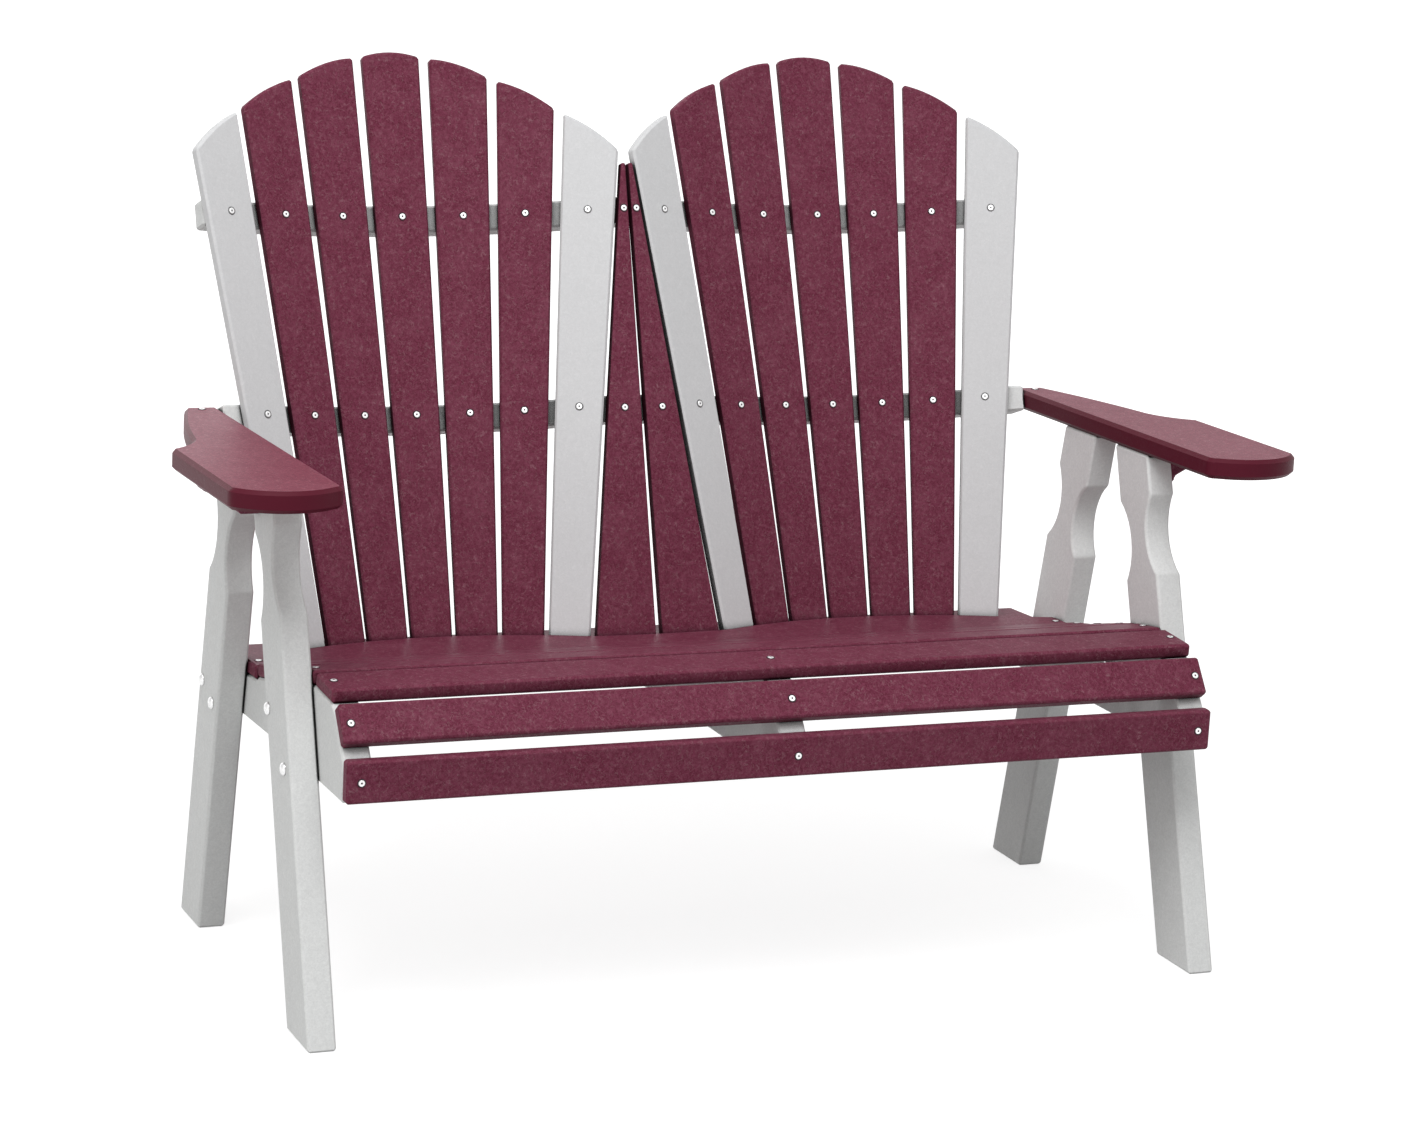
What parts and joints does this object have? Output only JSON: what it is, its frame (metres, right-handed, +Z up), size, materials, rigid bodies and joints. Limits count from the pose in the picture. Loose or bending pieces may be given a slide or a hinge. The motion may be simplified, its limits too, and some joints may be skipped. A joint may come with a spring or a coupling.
{
  "type": "outdoor loveseat",
  "caption": "Outdoor loveseat for two people with a double fan back of curved slats, a dished slatted seat and broad flat arms on splayed legs.",
  "frame": {"origin": "centre of the bounding box's footprint, at ground level under the feet", "axes": "+X to the right as seen from in front, along the seat's length; the front faces -Y; +Z up"},
  "size_m": [1.498, 0.825, 1.1657],
  "materials": {
    "cherry_lumber": "matte, lightly flecked plastic lumber",
    "grey_lumber": "matte, lightly flecked plastic lumber",
    "fasteners": "stainless steel"
  },
  "bodies": {
    "root": {"apron_screw_centre": "fasteners", "apron_screw_left": "fasteners", "apron_screw_right": "fasteners", "arm_bracket_left": "cherry_lumber", "arm_bracket_right": "cherry_lumber", "arm_left": "cherry_lumber", "arm_right": "cherry_lumber", "back_slat_left_1": "grey_lumber", "back_slat_left_2": "cherry_lumber", "back_slat_left_3": "cherry_lumber", "back_slat_left_4": "cherry_lumber", "back_slat_left_5": "cherry_lumber", "back_slat_left_6": "cherry_lumber", "back_slat_left_7": "grey_lumber", "back_slat_right_1": "grey_lumber", "back_slat_right_2": "cherry_lumber", "back_slat_right_3": "cherry_lumber", "back_slat_right_4": "cherry_lumber", "back_slat_right_5": "cherry_lumber", "back_slat_right_6": "cherry_lumber", "back_slat_right_7": "grey_lumber", "carriage_bolt_front_left_1": "fasteners", "carriage_bolt_front_left_2": "fasteners", "carriage_bolt_front_right_1": "fasteners", "carriage_bolt_front_right_2": "fasteners", "carriage_bolt_rear_left_1": "fasteners", "carriage_bolt_rear_left_2": "fasteners", "carriage_bolt_rear_right_1": "fasteners", "carriage_bolt_rear_right_2": "fasteners", "centre_filler_left": "cherry_lumber", "centre_filler_right": "cherry_lumber", "centre_support": "grey_lumber", "hex_nut_front_left_1": "fasteners", "hex_nut_front_left_2": "fasteners", "hex_nut_front_right_1": "fasteners", "hex_nut_front_right_2": "fasteners", "hex_nut_rear_left_1": "fasteners", "hex_nut_rear_left_2": "fasteners", "hex_nut_rear_right_1": "fasteners", "hex_nut_rear_right_2": "fasteners", "leg_front_left": "grey_lumber", "leg_front_right": "grey_lumber", "leg_rear_left": "grey_lumber", "leg_rear_right": "grey_lumber", "lower_apron": "cherry_lumber", "lower_back_rail": "grey_lumber", "rear_cross_rail": "cherry_lumber", "seat_slat_1": "cherry_lumber", "seat_slat_2": "cherry_lumber", "seat_slat_3": "cherry_lumber", "seat_slat_4": "cherry_lumber", "seat_slat_5": "cherry_lumber", "seat_slat_rear": "cherry_lumber", "side_rail_left": "grey_lumber", "side_rail_right": "grey_lumber", "upper_apron": "cherry_lumber", "upper_back_rail": "grey_lumber"}
  },
  "joints": []
}
